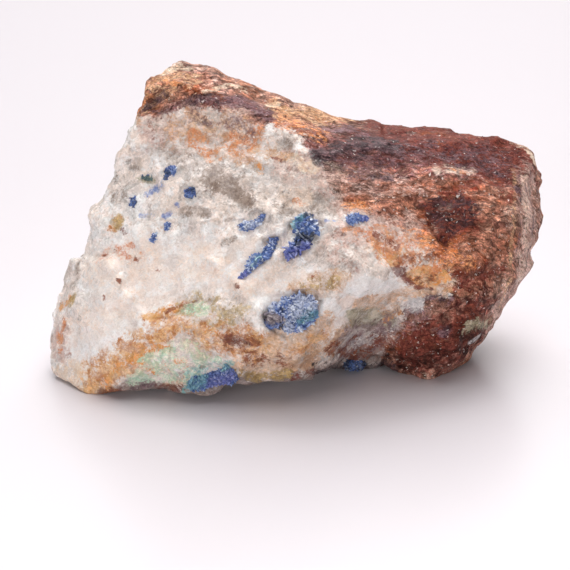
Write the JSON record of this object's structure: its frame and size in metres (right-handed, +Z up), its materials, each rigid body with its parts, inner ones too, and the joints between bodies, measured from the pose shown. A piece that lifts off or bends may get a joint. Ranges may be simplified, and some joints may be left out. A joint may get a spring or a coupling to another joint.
{
  "type": "linarite specimen",
  "caption": "Broken lump of milky vein quartz and iron-stained host rock, with deep blue linarite crystal groups seated in its front faces, resting on flat spots of its underside.",
  "frame": {"origin": "centre of the specimen's box on the surface that it rests on", "axes": "+Z up, the face with most crystals towards -Y, the lump's length along X with its pointed peak at -X"},
  "size_m": [0.0668, 0.0364, 0.0393],
  "materials": {
    "matrix": "broken milky quartz and brown host rock, satin",
    "linarite": "glassy crystal faces"
  },
  "bodies": {
    "root": {"matrix": "matrix", "linarite_rosette": "linarite", "linarite_cluster": "linarite", "linarite_sliver": "linarite", "linarite_patch": "linarite", "linarite_wedge": "linarite", "linarite_speck_1": "linarite", "linarite_speck_2": "linarite", "linarite_speck_3": "linarite", "linarite_speck_4": "linarite", "linarite_speck_5": "linarite", "linarite_speck_6": "linarite", "linarite_hem": "linarite", "linarite_recess": "linarite"}
  },
  "joints": []
}
